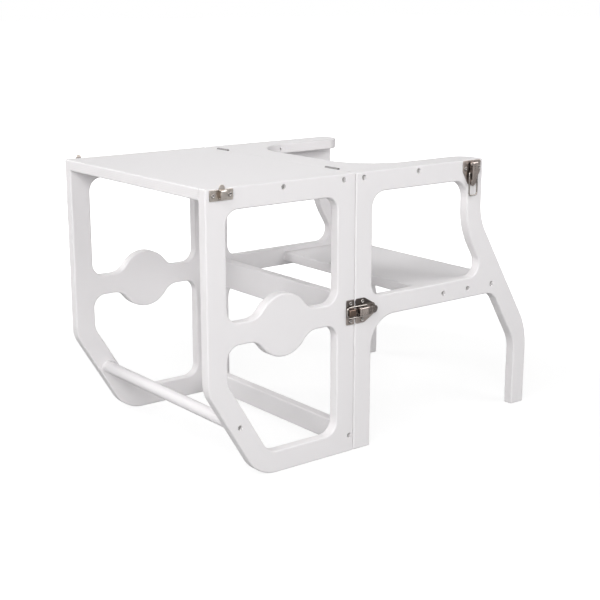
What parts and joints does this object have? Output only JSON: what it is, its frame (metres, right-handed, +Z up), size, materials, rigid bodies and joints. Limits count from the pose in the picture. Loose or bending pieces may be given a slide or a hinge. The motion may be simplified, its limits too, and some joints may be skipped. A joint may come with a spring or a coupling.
{
  "type": "toddler kitchen helper stool",
  "caption": "Folding toddler helper stool in table-and-seat position: white plywood side panels, table board, platform with belly cut-out, seat, hinges and toggle latches.",
  "frame": {"origin": "middle of the footprint on the floor", "axes": "+X from the upper frame (table) to the base (seat), +Y to the right side panels, +Z up"},
  "size_m": [0.6794, 0.4374, 0.455],
  "materials": {
    "white_wood": "satin white paint",
    "nickel": "nickel plated",
    "screw_steel": "satin"
  },
  "bodies": {
    "base": {"base_side_left": "white_wood", "base_side_right": "white_wood", "platform_board": "white_wood", "seat_board": "white_wood", "base_crossboard": "white_wood", "hinge_base_leaf_left": "nickel", "hinge_base_leaf_right": "nickel", "hinge_pin_left": "nickel", "hinge_pin_right": "nickel", "joint_latch_plate_left": "nickel", "joint_latch_plate_right": "nickel", "tower_latch_plate_left": "nickel", "tower_latch_plate_right": "nickel", "lever_rivets": "screw_steel", "base_panel_screws": "screw_steel", "latch_screws": "screw_steel", "hinge_base_screws": "screw_steel"},
    "upper_frame": {"frame_side_left": "white_wood", "frame_side_right": "white_wood", "table_board": "white_wood", "frame_crossboard": "white_wood", "guard_dowel": "white_wood", "hinge_frame_leaf_left": "nickel", "hinge_frame_leaf_right": "nickel", "joint_strike_left": "nickel", "joint_strike_right": "nickel", "tower_strike_left": "nickel", "tower_strike_right": "nickel", "frame_panel_screws": "screw_steel", "strike_screws": "screw_steel", "hinge_frame_screws": "screw_steel"},
    "joint_lever_left": {"joint_latch_lever_left": "nickel"},
    "joint_loop_left": {"joint_latch_loop_left": "nickel"},
    "joint_lever_right": {"joint_latch_lever_right": "nickel"},
    "joint_loop_right": {"joint_latch_loop_right": "nickel"},
    "tower_lever_left": {"tower_latch_lever_left": "nickel"},
    "tower_loop_left": {"tower_latch_loop_left": "nickel"},
    "tower_lever_right": {"tower_latch_lever_right": "nickel"},
    "tower_loop_right": {"tower_latch_loop_right": "nickel"}
  },
  "joints": [
    {"name": "frame_fold", "type": "hinge", "parent": "base", "child": "upper_frame", "pos_m": [-0.06275, 0, 0.45], "axis": [0, 1, 0], "range_deg": [0, 180]},
    {"name": "joint_lever_turn_left", "type": "hinge", "parent": "base", "child": "joint_lever_left", "pos_m": [-0.05575, -0.2146, 0.231], "axis": [0, 0, -1], "range_deg": [0, 90]},
    {"name": "joint_loop_turn_left", "type": "hinge", "parent": "joint_lever_left", "child": "joint_loop_left", "pos_m": [-0.04195, -0.2132, 0.231], "axis": [0, 0, -1], "range_deg": [-90, 0]},
    {"name": "tower_lever_turn_left", "type": "hinge", "parent": "base", "child": "tower_lever_left", "pos_m": [0.18725, -0.2146, 0.443], "axis": [-1, 0, 0], "range_deg": [0, 90]},
    {"name": "tower_loop_turn_left", "type": "hinge", "parent": "tower_lever_left", "child": "tower_loop_left", "pos_m": [0.18725, -0.2132, 0.4292], "axis": [-1, 0, 0], "range_deg": [0, 110]},
    {"name": "joint_lever_turn_right", "type": "hinge", "parent": "base", "child": "joint_lever_right", "pos_m": [-0.05575, 0.2146, 0.231], "axis": [0, 0, 1], "range_deg": [0, 90]},
    {"name": "joint_loop_turn_right", "type": "hinge", "parent": "joint_lever_right", "child": "joint_loop_right", "pos_m": [-0.04195, 0.2132, 0.231], "axis": [0, 0, 1], "range_deg": [-90, 0]},
    {"name": "tower_lever_turn_right", "type": "hinge", "parent": "base", "child": "tower_lever_right", "pos_m": [0.18725, 0.2146, 0.443], "axis": [1, 0, 0], "range_deg": [0, 90]},
    {"name": "tower_loop_turn_right", "type": "hinge", "parent": "tower_lever_right", "child": "tower_loop_right", "pos_m": [0.18725, 0.2132, 0.4292], "axis": [1, 0, 0], "range_deg": [0, 110]}
  ],
  "couplings": [
    {"joint": "joint_loop_turn_left", "follows": "joint_lever_turn_left", "ratio": -1},
    {"joint": "joint_loop_turn_right", "follows": "joint_lever_turn_right", "ratio": -1}
  ]
}
